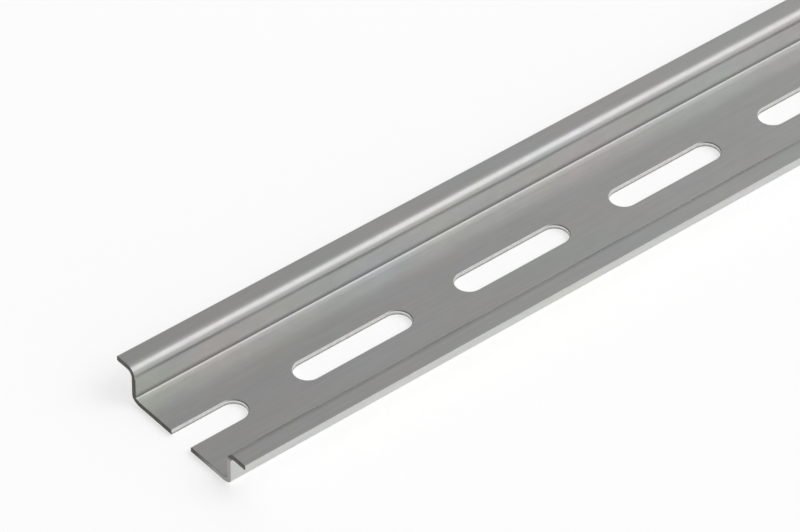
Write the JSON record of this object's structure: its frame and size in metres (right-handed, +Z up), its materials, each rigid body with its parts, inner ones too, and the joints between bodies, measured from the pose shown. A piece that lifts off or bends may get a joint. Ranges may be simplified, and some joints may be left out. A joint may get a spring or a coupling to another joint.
{
  "type": "din rail",
  "caption": "Slotted top-hat mounting rail of zinc-plated sheet steel, screwed to a panel through its web so that devices clip over its flanges.",
  "frame": {"origin": "the middle of the web's underside, at half the length and half the width", "axes": "+X along the rail, away from the end with the longer open slot; +Y across it; +Z up from the web to the flanges"},
  "size_m": [0.5, 0.035, 0.0075],
  "materials": {
    "zinc_plated_steel": "satin zinc plate, clear passivated"
  },
  "bodies": {
    "root": {"rail": "zinc_plated_steel"}
  },
  "joints": []
}
